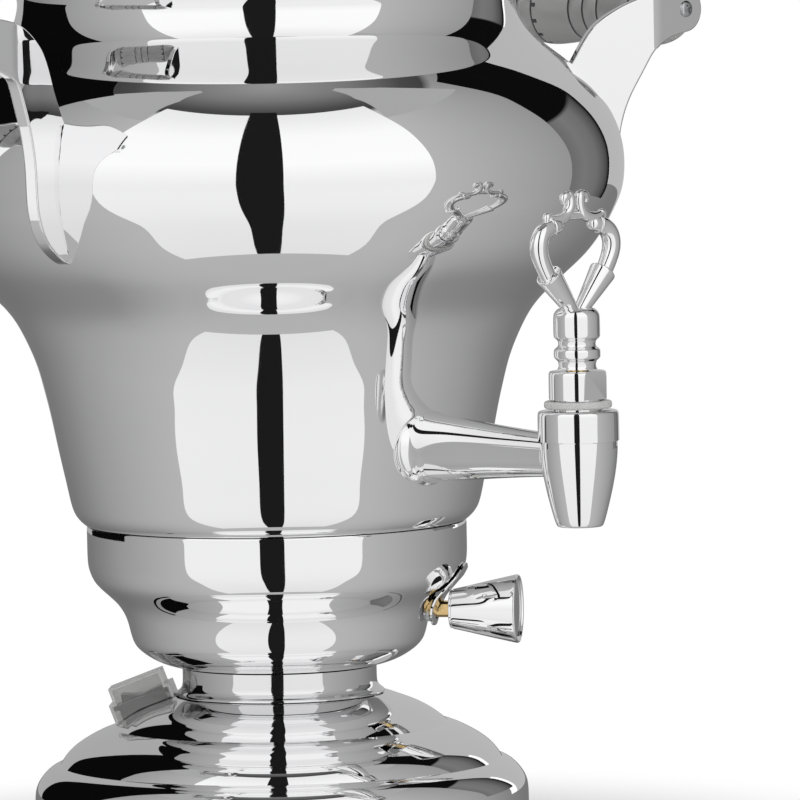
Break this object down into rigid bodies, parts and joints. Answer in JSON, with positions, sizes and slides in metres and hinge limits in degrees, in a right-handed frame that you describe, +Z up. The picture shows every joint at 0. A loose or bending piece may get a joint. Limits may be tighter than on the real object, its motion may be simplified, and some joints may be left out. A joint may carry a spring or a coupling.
{
  "type": "samovar",
  "caption": "An electric samovar in polished metal: stepped round base, bulging water body, tap with a ring-shaped key, thermostat knob, and side handles with pale grips",
  "frame": {"origin": "the middle of the flat face of the rubber mat that it stands on", "axes": "+Z up, the tap points along -Y, the side handles lie along +X and -X"},
  "size_m": [0.3728, 0.297, 0.3777],
  "materials": {
    "chrome": "polished, mirror-like",
    "steel": "satin",
    "brass": "turned",
    "porcelain": "glazed porcelain, stood in by gloss plastic",
    "rubber": "matt",
    "black_plastic": "satin",
    "white_plastic": "satin",
    "clear_plastic": "clear"
  },
  "bodies": {
    "body": {"base_shell": "chrome", "column": "chrome", "bowl_shell": "chrome", "body_shell": "chrome", "tap_pipe": "chrome", "tap_spout": "chrome", "tap_bonnet": "chrome", "knob_escutcheon": "chrome", "handle_arm_left_front": "chrome", "handle_arm_left_rear": "chrome", "handle_arm_right_front": "chrome", "handle_arm_right_rear": "chrome", "base_plate": "steel", "tie_rod": "steel", "tie_nut": "steel", "tank_bottom": "steel", "heating_element": "steel", "element_nut_left": "steel", "element_nut_right": "steel", "thermostat": "steel", "handle_rod_left": "steel", "handle_rod_right": "steel", "handle_screw_left_front": "steel", "handle_screw_left_rear": "steel", "handle_screw_right_front": "steel", "handle_screw_right_rear": "steel", "tap_lock_nut": "brass", "handle_grip_left": "porcelain", "handle_grip_right": "porcelain", "base_mat": "rubber", "tap_seal": "rubber", "cord_grommet": "rubber", "switch_housing": "black_plastic", "tap_washer": "white_plastic", "switch_boot": "clear_plastic"},
    "key": {"tap_key": "chrome", "tap_plug": "brass"},
    "knob": {"control_knob": "chrome", "control_shaft": "brass"},
    "rocker": {"switch_rocker": "black_plastic"},
    "lid": {"lid_shell": "chrome", "lid_skirt": "steel", "lid_knob_left": "porcelain", "lid_knob_right": "porcelain", "lid_knob_screw_left": "steel", "lid_knob_screw_right": "steel", "teapot_gallery": "chrome"}
  },
  "joints": [
    {"name": "tap_turn", "type": "hinge", "parent": "body", "child": "key", "pos_m": [0, -0.15501, 0.1493], "axis": [0, 0, 1], "range_deg": [0, 90]},
    {"name": "thermostat_turn", "type": "hinge", "parent": "body", "child": "knob", "pos_m": [0, 0, 0.087], "axis": [0.6018, -0.7986, 0], "range_deg": [0, 270]},
    {"name": "switch_rock", "type": "hinge", "parent": "body", "child": "rocker", "pos_m": [-0.03393, 0.03638, 0.05559], "axis": [0.7314, 0.682, 0], "range_deg": [-16, 0]},
    {"name": "lid_lift", "type": "slide", "parent": "body", "child": "lid", "axis": [0, 0, 1], "range_m": [0, 0.06]}
  ]
}
